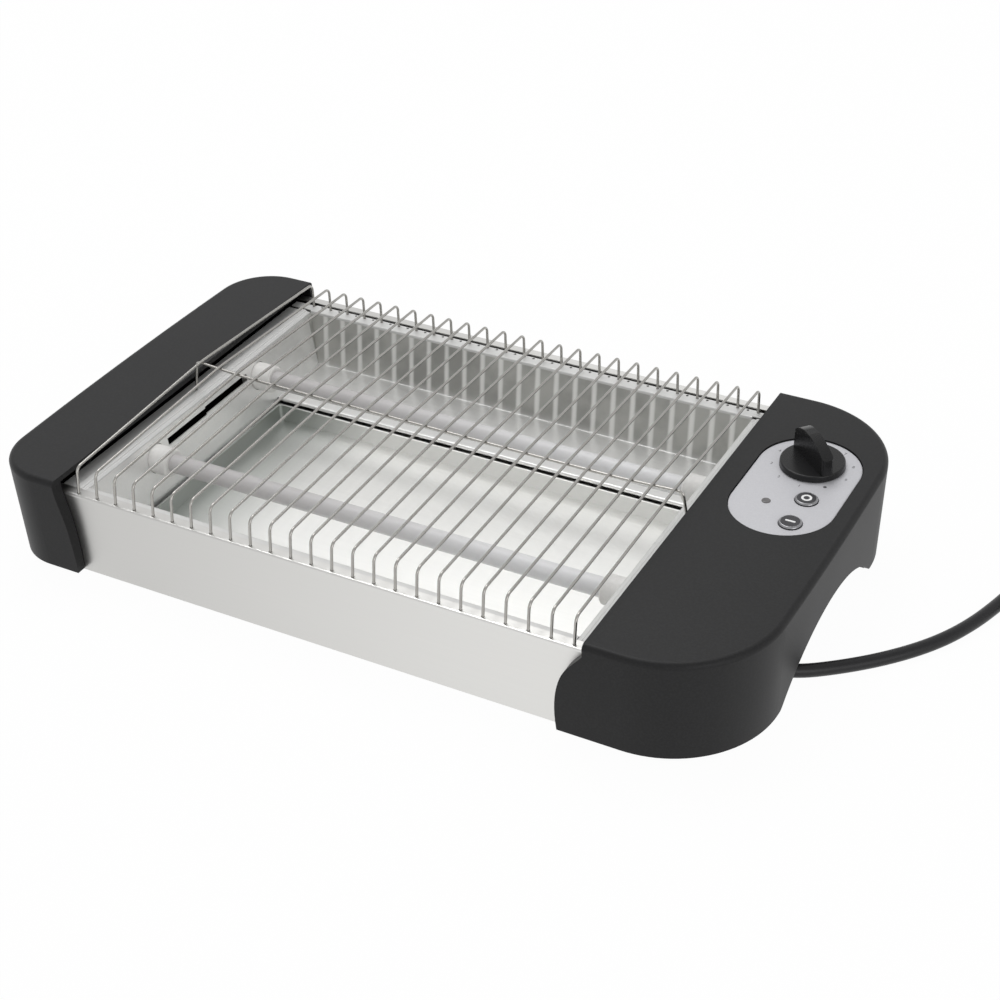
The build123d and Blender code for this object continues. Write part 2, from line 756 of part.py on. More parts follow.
# Knob: low round skirt under a tall blade that is highest at its tail.
blade_dir = Vector(math.cos(math.radians(blade_turn)), math.sin(math.radians(blade_turn)), 0)
blade_base = Vector(knob_x, knob_y, knob_floor + skirt_h)
blade_frame = Plane(origin=blade_base, x_dir=blade_dir, z_dir=(0, 0, 1))
blade_side = Plane(
    origin=blade_base + blade_frame.y_dir * blade_t,
    x_dir=blade_dir,
    z_dir=blade_frame.y_dir * -1,
)
blade_half = skirt_d / 2 - 0.6
with BuildPart() as timer_knob:
    with BuildSketch(Plane.XY.offset(knob_floor)):
        with Locations((knob_x, knob_y)):
            Circle(skirt_d / 2)
    extrude(amount=skirt_h, taper=5)
    fillet(timer_knob.edges().group_by(Axis.Z)[-1], 0.8)
    with BuildSketch(blade_frame.offset(-0.5)):
        RectangleRounded(2 * blade_half, blade_t, 2.2)
    extrude(amount=blade_h + 0.5, taper=2)
    # Side profile of the blade: round tail, then a slope down to a blunt pointer
    with BuildSketch(blade_side):
        with BuildLine():
            ThreePointArc(
                (-blade_half - 2, blade_h * 0.25),
                (-blade_half * 0.8, blade_h * 0.8),
                (-blade_half * 0.35, blade_h),
            )
            ThreePointArc(
                (-blade_half * 0.35, blade_h),
                (blade_half * 0.5, blade_h * 0.86),
                (blade_half + 2, blade_h * 0.42),
            )
            Polyline(
                (blade_half + 2, blade_h * 0.42),
                (blade_half + 4, blade_h + 4),
                (-blade_half - 4, blade_h + 4),
                (-blade_half - 2, blade_h * 0.25),
            )
        make_face()
    extrude(amount=2 * blade_t, mode=Mode.SUBTRACT)
    with BuildSketch(Plane.XY.offset(knob_floor)):
        with Locations((knob_x, knob_y)):
            Circle(shaft_d / 2)
    extrude(amount=skirt_h + 4, mode=Mode.SUBTRACT)
save(timer_knob, "timer_knob")

# Crumb tray: shallow pan with a beaded rim, a tongue to the back and a pull that closes the slot
with BuildPart() as crumb_tray:
    pan_y = (tray_front + tray_back) / 2
    pan_w = tray_back - tray_front
    with BuildSketch(Plane.XY.offset(tray_z)):
        with Locations((mid_x, pan_y)):
            Rectangle(2 * tray_half, pan_w)
    extrude(amount=tray_rim_h)
    fillet(crumb_tray.edges().group_by(Axis.Z)[-1], tray_bead_d / 2 - 0.1)
    with BuildSketch(Plane.XY.offset(tray_z + tray_t)):
        with Locations((mid_x, pan_y)):
            RectangleRounded(2 * (tray_half - tray_bead_d), pan_w - 2 * tray_bead_d, 2)
    extrude(amount=tray_rim_h, mode=Mode.SUBTRACT)
    pull_y = back_y + slip
    with BuildSketch(Plane.XY.offset(tray_z)):
        with Locations((mid_x, (tray_back + pull_y) / 2)):
            Rectangle(tongue_l, pull_y - tray_back + 0.4)
    extrude(amount=tray_t)
    with BuildSketch(Plane.XZ.offset(-pull_y)):
        with Locations((mid_x, tray_z + pull_h / 2 - 0.4)):
            RectangleRounded(pull_l, pull_h, 2)
    extrude(amount=-pull_t)
    with BuildSketch(Plane.YZ.offset(mid_x - finger_l / 2)):
        with BuildLine():
            Polyline(
                (pull_y + pull_t / 2, tray_z + 1),
                (pull_y + finger_w, tray_z + 2),
                (pull_y + finger_w, tray_z + 4.6),
                (pull_y + finger_w - 1, tray_z + 4.6),
                (pull_y + finger_w - 1, tray_z + 3.1),
                (pull_y + pull_t / 2, tray_z + 2.1),
                close=True,
            )
        make_face()
    extrude(amount=finger_l)
save(crumb_tray, "crumb_tray")

# Terminal block on the control end's base
floor_in = cap_bottom + cap_wall
block_x = mid_x + half_body + 11
block_y = -82
with BuildPart() as terminal_block:
    with BuildSketch(Plane.XY.offset(floor_in)):
        with Locations((block_x, block_y)):
            Rectangle(14, 30)
    extrude(amount=12)
    with BuildSketch(Plane.YZ.offset(block_x - 8)):
        with Locations((block_y, floor_in + 6)):
            with GridLocations(9, 0, 3, 1):
                Circle(2)
    extrude(amount=16, mode=Mode.SUBTRACT)
save(terminal_block, "terminal_block")

# Inside lead from the terminal block up to the timer
with BuildLine() as inner_run:
    FilletPolyline(
        (block_x + 7, block_y + 9, floor_in + 6),
        (block_x + 13, block_y + 9, floor_in + 6),
        (block_x + 16, block_y + 12, 44),
        (block_x + 15, block_y + 60, 46),
        (block_x + 15, knob_y - 17.1, 44),
        radius=5,
    )
with BuildPart() as timer_lead:
    with BuildSketch(Plane(origin=inner_run.line @ 0, z_dir=inner_run.line % 0)):
        Circle(1.3)
    sweep(path=inner_run.line)
save(timer_lead, "timer_lead")

# Strain relief: tapered sleeve on a neck in the wall of the recess
recess_wall = mid_x + half_open + right_cap_w - right_recess
with BuildPart() as strain_relief:
    with BuildSketch(Plane.YZ.offset(recess_wall)):
        with Locations((gland_y, gland_z)):
            Circle(relief_d / 2)
    with BuildSketch(Plane.YZ.offset(recess_wall + relief_l)):
        with Locations((gland_y, gland_z)):
            Circle(cord_d / 2 + 0.7)
    loft(ruled=True)
    with BuildSketch(Plane.YZ.offset(recess_wall)):
        with Locations((gland_y, gland_z)):
            Circle(cord_d / 2 + 1)
    extrude(amount=-cap_wall)
    with BuildSketch(Plane.YZ.offset(recess_wall - cap_wall)):
        with Locations((gland_y, gland_z + 3)):
            Rectangle(relief_d, 6)
    extrude(amount=-2)
save(strain_relief, "strain_relief")

# Free stretch of the lead, from the relief to the coil. The points are chosen by hand.
exit_x = recess_wall + relief_l
lead_points = [
    (exit_x, gland_y, gland_z),
    (exit_x + 15.5, gland_y, gland_z),
    (210.1, -36.9, 7.8),
    (224.5, -23.0, 5.2),
    (240.5, -6.6, cord_z),
    (255.0, 9.6, cord_z),
    (265.8, 25.6, cord_z),
    (274.0, 43.0, cord_z),
    (280.0, 61.0, cord_z),
    (285.0, 80.0, cord_z),
    (289.0, 98.0, cord_z),
    (289.0, 113.0, cord_z),
]


def corner_radii(points):
    """Arc at each inner point: 0.45 of the shorter run over the tangent of half the turn."""
    radii = []
    for before, here, after in zip(points, points[1:], points[2:]):
        first = Vector(*here) - Vector(*before)
        second = Vector(*after) - Vector(*here)
        turn = math.radians(first.get_angle(second))
        radii.append(0.45 * min(first.length, second.length) / math.tan(turn / 2))
    return radii


lead_radii = corner_radii(lead_points)
print("lead radii", [round(r) for r in lead_radii])
with BuildLine() as lead_line:
    FilletPolyline(*lead_points, radius=lead_radii)
with BuildPart() as mains_lead:
    with BuildSketch(Plane(origin=lead_line.line @ 0, z_dir=lead_line.line % 0)):
        Circle(cord_d / 2)
    sweep(path=lead_line.line)
save(mains_lead, "mains_lead")
section = math.pi * cord_d**2 / 4
lead_length = lead_line.wire().length
print("lead length", round(lead_length, 1))
print("lead volume ratio", round(mains_lead.part.volume / section / lead_length, 4))

# Put-away coil: spirals in on the table, climbs a layer in a half turn and spirals out again.
turns_in = 1.25
turns_climb = 0.5
turns_out = 1.25
quarters = round(4 * (turns_in + turns_climb + turns_out))


def coil_point(turn):
    """Point of the coil after this many turns, clockwise from its left side."""
    inward = min(turn, turns_in)
    outward = max(turn - turns_in - turns_climb, 0)
    climb = min(max((turn - turns_in) / turns_climb, 0), 1)
    dip = turns_climb * (climb - climb**2)
    radius = coil_r - coil_pitch * (inward + dip - outward)
    rise = layer_rise * (1 - math.cos(math.pi * climb)) / 2
    angle = math.pi - 2 * math.pi * turn
    return Vector(coil_x + radius * math.cos(angle), coil_y + radius * math.sin(angle), cord_z + rise)


def coil_heading(turn):
    """Direction of the coil there, from two points close by."""
    return (coil_point(turn + 1e-4) - coil_point(turn - 1e-4)).normalized()


def biarc_joint(start, start_dir, end, end_dir):
    """Joint and heading of two tangent arcs between two points with given directions."""
    chord = end - start
    both = start_dir + end_dir
    square = 2 * (1 - start_dir.dot(end_dir))
    along = chord.dot(both)
    reach = (math.sqrt(along**2 + square * chord.dot(chord)) - along) / square
    joint = (start + start_dir * reach + end - end_dir * reach) * 0.5
    return joint, (end - end_dir * reach - start - start_dir * reach).normalized()


stations = [coil_point(q / 4) for q in range(quarters + 1)]
headings = [coil_heading(q / 4) for q in range(quarters + 1)]
headings[0] = Vector(0, 1, 0)
headings[-1] = Vector(0, 1, 0)
tilt = math.radians(plug_tilt)
plug_dir = Vector(0, math.cos(tilt), math.sin(tilt))
rise_r = 5.5 * cord_d
with BuildLine() as coil_line:
    Line(stations[0] - headings[0] * cord_d, stations[0])
    for q in range(quarters):
        joint, heading = biarc_joint(stations[q], headings[q], stations[q + 1], headings[q + 1])
        TangentArc(stations[q], joint, tangent=headings[q])
        TangentArc(joint, stations[q + 1], tangent=heading)
    bend_end = stations[-1] + Vector(0, rise_r * math.sin(tilt), rise_r * (1 - math.cos(tilt)))
    TangentArc(stations[-1], bend_end, tangent=headings[-1])
    Line(bend_end, bend_end + plug_dir * cord_d)
with BuildPart() as cord_coil:
    with BuildSketch(Plane(origin=coil_line.line @ 0, z_dir=coil_line.line % 0)):
        Circle(cord_d / 2)
    sweep(path=coil_line.line)
save(cord_coil, "cord_coil")

coil_wire = coil_line.wire()
coil_length = coil_wire.length
count = 600
samples = [coil_wire @ (n / count) for n in range(count + 1)]
apart = round(3 * cord_d / coil_length * count)
least = min(
    (samples[a] - samples[b]).length
    for a in range(0, count + 1, 2)
    for b in range(a + apart, count + 1)
)
print("coil length", round(coil_length, 1), "least gap to itself", round(least - cord_d, 2))
print("coil volume ratio", round(cord_coil.part.volume / section / coil_length, 4))
print("whole lead", round(lead_length + coil_length + relief_l, 1))

# Plug: round face, tapered grip and a sleeve at the tail. It lies on its rim with its tail raised.
tail = bend_end + plug_dir * cord_d
plug_frame = Plane(origin=tail, x_dir=plug_dir, z_dir=(1, 0, 0))
with BuildPart() as plug_body:
    with BuildSketch(plug_frame) as plug_half:
        with BuildLine():
            Polyline(
                (0, 0),
                (0, cord_d / 2 + 0.8),
                (15, 6.4),
                (19, 9.5),
                (27, 12.6),
                (33, plug_face_r),
                (plug_l, plug_face_r - 0.3),
                (plug_l, 0),
                close=True,
            )
        make_face()
        fillet([v for v in plug_half.vertices() if 16 < v.X < 40], 2)
    revolve(axis=Axis(tail, plug_dir))
    chamfer(plug_body.faces().sort_by(Axis(tail, plug_dir))[-1].edges(), 0.8)
save(plug_body, "plug_body")
print("plug lowest point", round(plug_body.part.bounding_box().min.Z, 2))

with BuildPart() as plug_pins:
    with BuildSketch(Plane(origin=tail + plug_dir * plug_l, x_dir=(1, 0, 0), z_dir=plug_dir)):
        with GridLocations(pin_apart, 0, 2, 1):
            Circle(pin_d / 2)
    extrude(amount=pin_l)
    tips = plug_pins.faces().sort_by(Axis(tail, plug_dir))[-2:]
    fillet([e for tip in tips for e in tip.edges()], 1.4)
save(plug_pins, "plug_pins")
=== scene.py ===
import math

import bpy
import numpy as np
from mathutils import Matrix, Vector


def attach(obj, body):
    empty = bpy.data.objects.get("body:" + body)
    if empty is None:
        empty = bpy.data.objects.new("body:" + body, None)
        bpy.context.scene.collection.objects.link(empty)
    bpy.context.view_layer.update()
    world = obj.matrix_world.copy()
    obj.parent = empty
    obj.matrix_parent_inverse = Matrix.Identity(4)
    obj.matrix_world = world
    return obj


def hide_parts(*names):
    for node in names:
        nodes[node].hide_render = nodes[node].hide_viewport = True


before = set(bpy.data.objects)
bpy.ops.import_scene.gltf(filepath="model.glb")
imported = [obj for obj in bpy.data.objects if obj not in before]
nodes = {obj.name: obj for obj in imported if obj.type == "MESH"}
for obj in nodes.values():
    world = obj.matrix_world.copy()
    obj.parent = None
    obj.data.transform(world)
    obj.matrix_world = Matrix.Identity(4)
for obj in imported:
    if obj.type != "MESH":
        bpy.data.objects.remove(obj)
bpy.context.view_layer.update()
mm = 0.001
bedMiddle = -15.5 * mm  # middle of the bed along X


# Meshes worked out as arrays

def meshPiece(name, points, faces, material, body, slotName, smooth=True):
    mesh = bpy.data.meshes.new(name)
    mesh.from_pydata(points.tolist(), [], faces.tolist())
    mesh.polygons.foreach_set("use_smooth", [smooth] * len(mesh.polygons))
    mesh.materials.append(material)
    mesh.update()
    piece = bpy.data.objects.new(name, mesh)
    bpy.context.scene.collection.objects.link(piece)
    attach(piece, body)
    return piece


def gridFaces(rows, columns):
    # quads of a grid that closes on itself both ways: corner (i, j) joins (i + 1, j + 1)
    i, j = np.meshgrid(np.arange(rows), np.arange(columns), indexing="ij")
    nextI, nextJ = (i + 1) % rows, (j + 1) % columns
    corners = (i * columns + j, nextI * columns + j, nextI * columns + nextJ, i * columns + nextJ)
    return np.stack(corners, axis=-1).reshape(-1, 4)


def turnedBands(profile, bases, axis, around):
    # each band: point = base + axis * along + radius * (side * cos t + up * sin t)
    axis = np.array(Vector(axis).normalized())
    side = np.array(Vector(axis).orthogonal().normalized())
    up = np.cross(axis, side)
    turn = np.linspace(0, 2 * math.pi, around, endpoint=False)
    ring = np.cos(turn)[:, None] * side + np.sin(turn)[:, None] * up
    profile = np.array(profile, float)
    band = profile[None, :, 0, None] * ring[:, None, :] + profile[None, :, 1, None] * axis
    points = np.concatenate([band.reshape(-1, 3) + np.array(base) for base in bases])
    faces = gridFaces(around, len(profile))
    size = around * len(profile)
    faces = np.concatenate([faces + n * size for n in range(len(bases))])
    return points, faces


# Finishes

class Sock:  # a node's output; operators on it add Math nodes
    def __init__(self, finish, out):
        self.finish = finish
        self.out = out

    def maths(self, operation, *values):
        return self.finish.node("ShaderNodeMath", {"operation": operation}, dict(enumerate(values)))

    def __add__(self, other):
        return self.maths("ADD", self, other)

    def __radd__(self, other):
        return self.maths("ADD", other, self)

    def __sub__(self, other):
        return self.maths("SUBTRACT", self, other)

    def __rsub__(self, other):
        return self.maths("SUBTRACT", other, self)

    def __mul__(self, other):
        return self.maths("MULTIPLY", self, other)

    def cosine(self):
        return self.maths("COSINE", self)

    def between(self, low, high):  # smooth 0 to 1 as the value goes from low to high
        values = {"Value": self, "From Min": low, "From Max": high}
        return self.finish.node("ShaderNodeMapRange", {"interpolation_type": "SMOOTHSTEP"}, values)


class Finish:  # one material and its Principled shader
    def __init__(self, name, color, **even):
        self.material = bpy.data.materials.new(name)
        self.material.use_nodes = True
        self.tree = self.material.node_tree
        self.shader = next(n for n in self.tree.nodes if n.type == "BSDF_PRINCIPLED")
        self.shader.inputs["Base Color"].default_value = (*color, 1)
        named = {"rough": "Roughness", "metal": "Metallic", "coat": "Coat Weight", "alpha": "Alpha",
                 "specular": "Specular IOR Level"}
        for key, value in even.items():
            self.shader.inputs[named[key]].default_value = value
        self.place = self.node("ShaderNodeTexCoord", {}, {}, "Object")

    def node(self, kind, settings, values, output=0):
        made = self.tree.nodes.new(kind)
        for key, value in settings.items():
            setattr(made, key, value)
        for key, value in values.items():
            if isinstance(value, Sock):
                self.tree.links.new(value.out, made.inputs[key])
            else:
                made.inputs[key].default_value = value
        return Sock(self, made.outputs[output])

    def stretched(self, x, y, z):
        return self.node("ShaderNodeVectorMath", {"operation": "MULTIPLY"}, {0: self.place, 1: (x, y, z)})

    def noise(self, scale, detail=3.0, where=None):
        values = {"Vector": where or self.place, "Scale": scale, "Detail": detail}
        return self.node("ShaderNodeTexNoise", {}, values)

    def axis(self, letter):
        return self.node("ShaderNodeSeparateXYZ", {}, {"Vector": self.place}, letter)

    def mix(self, factor, first, second):
        def four(color):
            return color if isinstance(color, Sock) else (*color, 1)
        values = {0: factor, 6: four(first), 7: four(second)}
        return self.node("ShaderNodeMix", {"data_type": "RGBA"}, values, 2)

    def feed(self, socketName, value):
        self.tree.links.new(value.out, self.shader.inputs[socketName])

    def bump(self, height, strength, distance):
        values = {"Height": height, "Strength": strength, "Distance": distance}
        self.feed("Normal", self.node("ShaderNodeBump", {}, values))


def tinted(color, factor):
    return tuple(min(1.0, c * factor) for c in color)


def sheetFinish(name, color, rough, grain, spread=0.07, depth=0.05, ends=None, **even):
    # rolled or brushed sheet: fine lines along one axis over slow cloudy patches
    # ends: painted light and shade along X: the stretch in which the colour changes, and the colour at either end of
    # it
    finish = Finish(name, color, metal=1.0, rough=rough, **even)
    lines = finish.noise(1.0, 4.0, finish.stretched(*grain))
    clouds = finish.noise(9.0, 2.0)
    shade, low, high = lines, tinted(color, 1 - spread), tinted(color, 1 + spread)
    # painted light and shade along X take most of the colour from the lines
    if ends:
        shade = finish.axis("X").between(*ends["stretch"]) * ends["share"] + lines * (1 - ends["share"])
        low, high = ends["left"], ends["right"]
    finish.feed("Base Color", finish.mix(shade, low, high))
    finish.feed("Roughness", rough - 0.06 + lines * 0.07 + clouds * 0.06)
    finish.bump(lines, depth, 0.00012)
    return finish


def mouldedFinish(name, color, rough, grain=900.0, depth=0.08, dust=1.35, **even):
    # moulded plastic: fine spark texture, slow change of sheen, a little dust in the grain
    finish = Finish(name, color, rough=rough, **even)
    spark = finish.noise(grain, 2.0)
    clouds = finish.noise(14.0, 2.0)
    finish.feed("Base Color", finish.mix(spark.between(0.35, 0.7), color, tinted(color, dust)))
    finish.feed("Roughness", rough - 0.05 + clouds * 0.08 + spark * 0.03)
    finish.bump(spark, depth, 0.0001)
    return finish


print("finishes")
# painted light: the panels brighten towards the control end; painted shade: the tray greys towards the other
panelPaintedLight = {"stretch": (-0.17, 0.13), "share": 0.85, "left": (0.58, 0.575, 0.56), "right": (0.76, 0.755, 0.735)}
trayPaintedShade = {"stretch": (-0.15, -0.08), "share": 0.9, "left": (0.50, 0.52, 0.50), "right": (0.95, 0.95, 0.93)}
panelSteel = sheetFinish("panelSteel", (0.62, 0.61, 0.60), 0.34, (6.0, 900.0, 1500.0), ends=panelPaintedLight)
zincSteel = sheetFinish("zincSteel", (0.46, 0.47, 0.48), 0.45, (60.0, 60.0, 60.0))
# painted shade: the chassis plates are near black, standing in for the shade inside the slots
slotShadeSteel = sheetFinish("slotShadeSteel", (0.03, 0.03, 0.03), 0.6, (60.0, 60.0, 60.0))
timerSteel = sheetFinish("timerSteel", (0.5, 0.5, 0.48), 0.4, (400.0, 20.0, 20.0))
screwSteel = sheetFinish("screwSteel", (0.55, 0.55, 0.55), 0.3, (300.0, 300.0, 300.0))
traySteel = sheetFinish("traySteel", (0.93, 0.93, 0.91), 0.36, (8.0, 700.0, 900.0), depth=0.03, ends=trayPaintedShade)
pinMetal = sheetFinish("pinMetal", (0.72, 0.70, 0.64), 0.25, (500.0, 500.0, 40.0))
capPlastic = mouldedFinish("capPlastic", (0.011, 0.011, 0.0115), 0.46, specular=0.22)
basePlastic = mouldedFinish("basePlastic", (0.012, 0.012, 0.0125), 0.58, specular=0.3)
knobPlastic = mouldedFinish("knobPlastic", (0.008, 0.008, 0.0085), 0.27, 1500.0, 0.03, specular=0.3)
switchPlastic = mouldedFinish("switchPlastic", (0.08, 0.08, 0.08), 0.5)
terminalPlastic = mouldedFinish("terminalPlastic", (0.7, 0.67, 0.58), 0.5)
buttonPlastic = mouldedFinish("buttonPlastic", (0.03, 0.03, 0.034), 0.22, 1500.0, 0.03)
plugRubber = mouldedFinish("plugRubber", (0.03, 0.03, 0.03), 0.5)
footRubber = mouldedFinish("footRubber", (0.03, 0.03, 0.03), 0.75, 1200.0, 0.3)
cordRubber = mouldedFinish("cordRubber", (0.008, 0.008, 0.009), 0.36, 700.0, 0.04, specular=0.35)
innerSleeve = mouldedFinish("innerSleeve", (0.6, 0.57, 0.5), 0.8, 1800.0, 0.6)
whiteCeramic = mouldedFinish("whiteCeramic", (0.82, 0.81, 0.79), 0.5, 500.0, 0.02, dust=1.05)
plateSilver = mouldedFinish("plateSilver", (0.56, 0.56, 0.585), 0.45, 1600.0, 0.02, dust=1.06, metal=0.15)
symbolWhite = mouldedFinish("symbolWhite", (0.8, 0.8, 0.8), 0.4, 1600.0, 0.03)
markGrey = mouldedFinish("markGrey", (0.06, 0.06, 0.065), 0.5, 1600.0, 0.02)
lampLens = mouldedFinish("lampLens", (0.12, 0.115, 0.115), 0.15, 300.0, 0.01, coat=0.4)
rimMetal = sheetFinish("rimMetal", (0.3, 0.3, 0.31), 0.26, (300.0, 300.0, 300.0))

wireChrome = Finish("wireChrome", (0.40, 0.39, 0.37), metal=1.0, rough=0.2)
wireStreaks = wireChrome.noise(1.0, 3.0, wireChrome.stretched(1200.0, 90.0, 400.0))
wireChrome.feed("Base Color", wireChrome.mix(wireStreaks, (0.34, 0.33, 0.31), (0.47, 0.46, 0.44)))
wireChrome.feed("Roughness", 0.14 + wireStreaks * 0.12)

heaterWire = Finish("heaterWire", (0.22, 0.20, 0.19), metal=0.8, rough=0.5)
scale = heaterWire.noise(260.0, 4.0)
heaterWire.feed("Base Color", heaterWire.mix(scale, (0.14, 0.12, 0.11), (0.32, 0.30, 0.28)))

quartzGlass = Finish("quartzGlass", (0.80, 0.80, 0.80), rough=0.35, alpha=0.78)
haze = quartzGlass.noise(1.0, 3.0, quartzGlass.stretched(18.0, 200.0, 200.0))
# painted light: the tube is painted greyish at the left end and whiter at the right, over its milky haze
paintedLightToRight = quartzGlass.axis("X").between(-0.12, 0.09)  # greyish at the left end, whiter at the right
milkyAndPaintedLight = quartzGlass.mix(paintedLightToRight + haze * 0.25 - 0.12, (0.70, 0.68, 0.68), (0.96, 0.96, 0.97))
quartzGlass.feed("Base Color", milkyAndPaintedLight)
quartzGlass.feed("Roughness", 0.3 + haze * 0.14)

reflectorFacts = {
    "color": (0.90, 0.90, 0.89),
    # painted shade: the leaning back wall is darker than the rest of the bright sheet
    "wallShadeColor": (0.44, 0.44, 0.42),
    # painted reflection of each wire, as light upright streaks on the back wall
    "wireReflectionColor": (0.86, 0.86, 0.84),
    "topColor": (0.66, 0.66, 0.65),
    "topStart": 0.0491,  # Z where the flanges and ledges begin
    "wallStart": 0.1018,  # Y where the leaning back wall begins
    "wallFull": 0.1030,
    "wallTop": 0.0500,
    "pitch": 12.0 * mm,
}


def reflectorFinish(facts):
    # bright sheet; the back wall carries painted shade, and each wire is painted on it as a light upright streak, a
    # painted reflection
    finish = Finish("brightReflector", facts["color"], metal=0.7, rough=0.3)
    lines = finish.noise(1.0, 4.0, finish.stretched(7.0, 900.0, 900.0))
    patches = finish.noise(34.0, 5.0)
    wall = finish.axis("Y").between(facts["wallStart"], facts["wallFull"])
    wall = wall * (1 - finish.axis("Z").between(facts["wallTop"], facts["wallTop"] + 0.0006))
    # painted reflection: a light upright streak at each wire's place across X
    across = (finish.axis("X") - bedMiddle) * (2 * math.pi / facts["pitch"])
    paintedReflection = (across.cosine() + patches * 0.35).between(0.55, 1.25)
    plain = finish.mix(lines, tinted(facts["color"], 0.95), tinted(facts["color"], 1.05))
    # painted shade on the back wall, mottled at random
    dull, clear = tinted(facts["wallShadeColor"], 0.82), tinted(facts["wallShadeColor"], 1.12)
    mottled = finish.mix(patches.between(0.4, 0.65), dull, clear)
    withPaintedReflection = finish.mix(paintedReflection, mottled, facts["wireReflectionColor"])
    top = finish.axis("Z").between(facts["topStart"], facts["topStart"] + 0.0005)
    finish.feed("Base Color", finish.mix(top, finish.mix(wall, plain, withPaintedReflection), facts["topColor"]))
    finish.feed("Roughness", 0.28 + lines * 0.06 + wall * 0.2 + top * 0.2)
    finish.feed("Metallic", 0.7 - top * 0.35)
    finish.bump(lines, 0.04, 0.0001)
    return finish


brightReflector = reflectorFinish(reflectorFacts)

nodeFinishes = {
    "front_panel": panelSteel, "back_panel": panelSteel,
    "left_chassis_plate": slotShadeSteel, "right_chassis_plate": slotShadeSteel,
    "base_plate": zincSteel, "tray_guides": zincSteel,
    "reflector_front": brightReflector, "reflector_back": brightReflector,
    "reflector_left_end": brightReflector, "reflector_right_end": brightReflector,
    "grille_wires": wireChrome, "grille_cross_wire": wireChrome,
    "quartz_tube_front": quartzGlass, "quartz_tube_back": quartzGlass,
    "ceramic_holders_left": whiteCeramic, "ceramic_holders_right": whiteCeramic,
    "heating_coils": heaterWire, "heater_link": heaterWire,
    "left_cap": capPlastic, "right_cap": capPlastic,
    "left_cap_base": basePlastic, "right_cap_base": basePlastic,
    "base_screws": screwSteel, "rubber_feet": footRubber,
    "control_plate": plateSilver, "indicator_lens": lampLens,
    "ring_button": buttonPlastic, "bar_button": buttonPlastic,
    "push_switches": switchPlastic, "timer_body": timerSteel, "timer_shaft": timerSteel,
    "timer_knob": knobPlastic, "crumb_tray": traySteel,
    "terminal_block": terminalPlastic, "timer_lead": innerSleeve,
    "strain_relief": cordRubber, "mains_lead": cordRubber, "cord_coil": cordRubber,
    "plug_body": plugRubber, "plug_pins": pinMetal,
}
for nodeName, finish in nodeFinishes.items():
    for materialSlot in nodes[nodeName].material_slots:
        materialSlot.material = finish.material


# Camera

cameraFacts = {
    "focal": 1.8986,  # focal length as a share of the picture's width
    "azimuth": 29.322,
    "elevation": 34.055,
    "roll": -2.018,
    "distance": 1.06355,
    "aim": (0.0047, 0.0415, 0.0),
}


def placeCamera(facts):
    azimuth, elevation = math.radians(facts["azimuth"]), math.radians(facts["elevation"])
    level = math.cos(elevation)
    back = Vector((math.sin(azimuth) * level, -math.cos(azimuth) * level, math.sin(elevation)))
    right = Vector((math.cos(azimuth), math.sin(azimuth), 0))
    up = back.cross(right)
    roll = math.radians(facts["roll"])
    across = right * math.cos(roll) + up * math.sin(roll)
    upward = up * math.cos(roll) - right * math.sin(roll)
    turned = Matrix((across, upward, back))
    data = bpy.data.cameras.new("camera")
    data.sensor_width = 36.0
    data.lens = 36.0 * facts["focal"]
    data.clip_start = 0.02
    camera = bpy.data.objects.new("camera", data)
    bpy.context.scene.collection.objects.link(camera)
    camera.location = Vector(facts["aim"]) + back * facts["distance"]
    camera.rotation_mode = "QUATERNION"
    camera.rotation_quaternion = turned.transposed().to_quaternion()
    bpy.context.scene.camera = camera


placeCamera(cameraFacts)
print("camera")


# Mains lead

leadFacts = {
    "diameter": 7.0 * mm,
    "length": 0.910,
    "exit": (180.2, -42.7, 9.4),
    "route": [
        (180.2, -42.7, 9.4), (195.7, -42.7, 9.4), (210.1, -36.9, 7.8), (224.5, -23.0, 5.2),
        (240.5, -6.6, 3.6), (255.0, 9.6, 3.6), (265.8, 25.6, 3.6), (274.0, 43.0, 3.6),
        (280.0, 61.0, 3.6), (285.0, 80.0, 3.6), (289.0, 98.0, 3.6), (289.0, 113.0, 3.6),
    ],
    "coilMiddle": (331.0, 120.0, 3.6),
    "coilRadius": 42.3,
    "turnsIn": 1.25,
    "turnsClimb": 0.5,
    "turnsOut": 1.25,
    "turnPitch": 7.8,
    "layerRise": 7.6,
    "pointsPerTurn": 16,
    "plugTilt": 9.7,
    "bendRadius": 38.5,
    "tailRadius": 42.0,  # the coil's end lies straight below the plug's axis
    "tailStraight": 7.0,
    "intoPlug": 4.0,
}


def coilPoint(facts, turn):
    # the radius falls a pitch per turn, climbs a layer in a half turn, then grows again
    inward = min(turn, facts["turnsIn"])
    outward = max(turn - facts["turnsIn"] - facts["turnsClimb"], 0)
    climb = min(max((turn - facts["turnsIn"]) / facts["turnsClimb"], 0), 1)
    dip = facts["turnsClimb"] * (climb - climb * climb)
    radius = facts["coilRadius"] - facts["turnPitch"] * (inward + dip - outward)
    angle = math.pi - 2 * math.pi * turn
    x, y, z = facts["coilMiddle"]
    rise = facts["layerRise"] * (1 - math.cos(math.pi * climb)) / 2
    return (x + radius * math.cos(angle), y + radius * math.sin(angle), z + rise)


def plugTail(facts):
    # where the plug begins: the coil's end, a short bend upwards and a straight diameter
    tilt = math.radians(facts["plugTilt"])
    turns = facts["turnsIn"] + facts["turnsClimb"] + facts["turnsOut"]
    x, y, z = coilPoint(facts, turns)
    x = facts["coilMiddle"][0] - facts["tailRadius"]
    bend = (x, y + facts["bendRadius"] * math.sin(tilt), z + facts["bendRadius"] * (1 - math.cos(tilt)))
    direction = (0.0, math.cos(tilt), math.sin(tilt))
    tail = tuple(b + facts["tailStraight"] * d for b, d in zip(bend, direction))
    return bend, tail, direction


